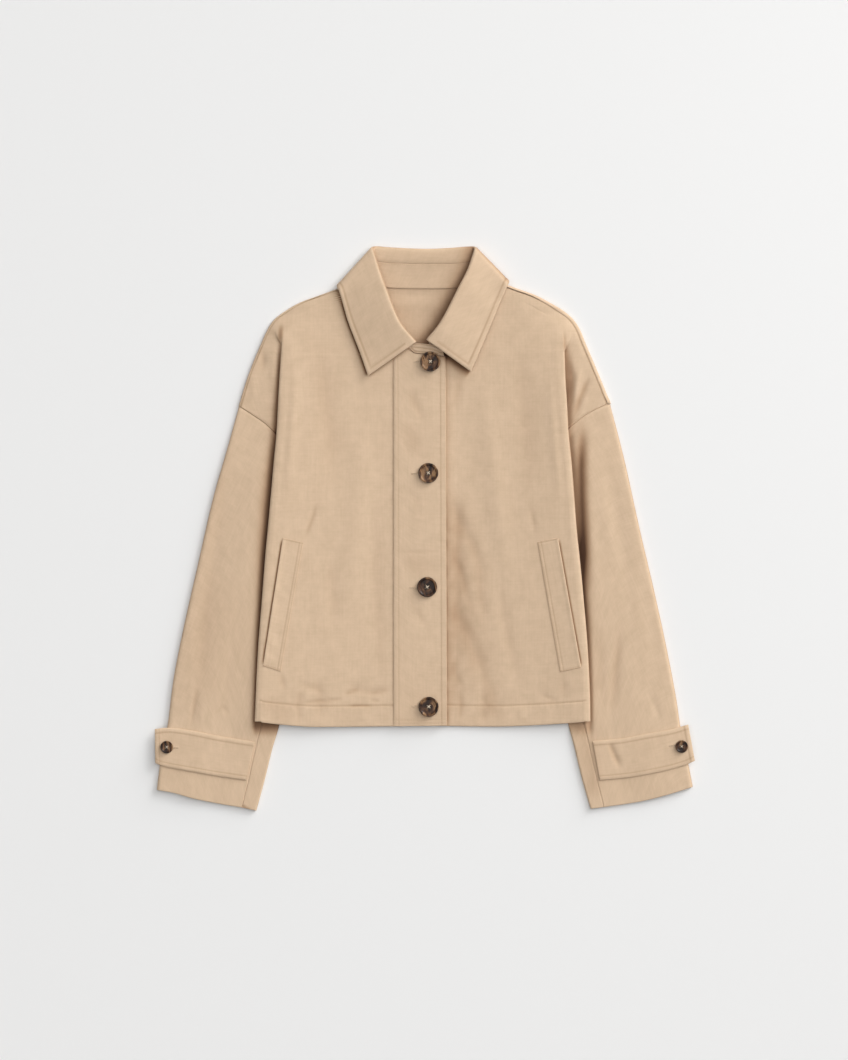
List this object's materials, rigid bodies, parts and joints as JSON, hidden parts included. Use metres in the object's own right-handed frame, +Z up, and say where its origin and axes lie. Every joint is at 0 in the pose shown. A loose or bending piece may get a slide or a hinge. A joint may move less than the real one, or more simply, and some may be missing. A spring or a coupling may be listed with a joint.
{
  "type": "short trench coat",
  "caption": "Cropped trench jacket laid flat on its back, buttoned, with a turned-down collar, stitched placket, slanted welt pockets and buttoned cuff straps.",
  "frame": {"origin": "on the surface that the coat lies on, under the middle of its outline", "axes": "+X to the viewer's right, +Y from the hem to the collar, +Z up, away from the surface"},
  "size_m": [0.7291, 0.762, 0.0225],
  "materials": {
    "cloth": "matte sand cotton twill",
    "horn": "polished streaked brown horn look"
  },
  "bodies": {
    "root": {"back_panel": "cloth", "front_left": "cloth", "front_right": "cloth", "placket": "cloth", "collar_leaf": "cloth", "collar_stand": "cloth", "sleeve_left_upper": "cloth", "sleeve_left_under": "cloth", "sleeve_right_upper": "cloth", "sleeve_right_under": "cloth", "welt_left": "cloth", "welt_right": "cloth", "strap_left": "cloth", "strap_right": "cloth", "button_front_1": "horn", "button_front_2": "horn", "button_front_3": "horn", "button_front_4": "horn", "button_cuff_left": "horn", "button_cuff_right": "horn"}
  },
  "joints": []
}
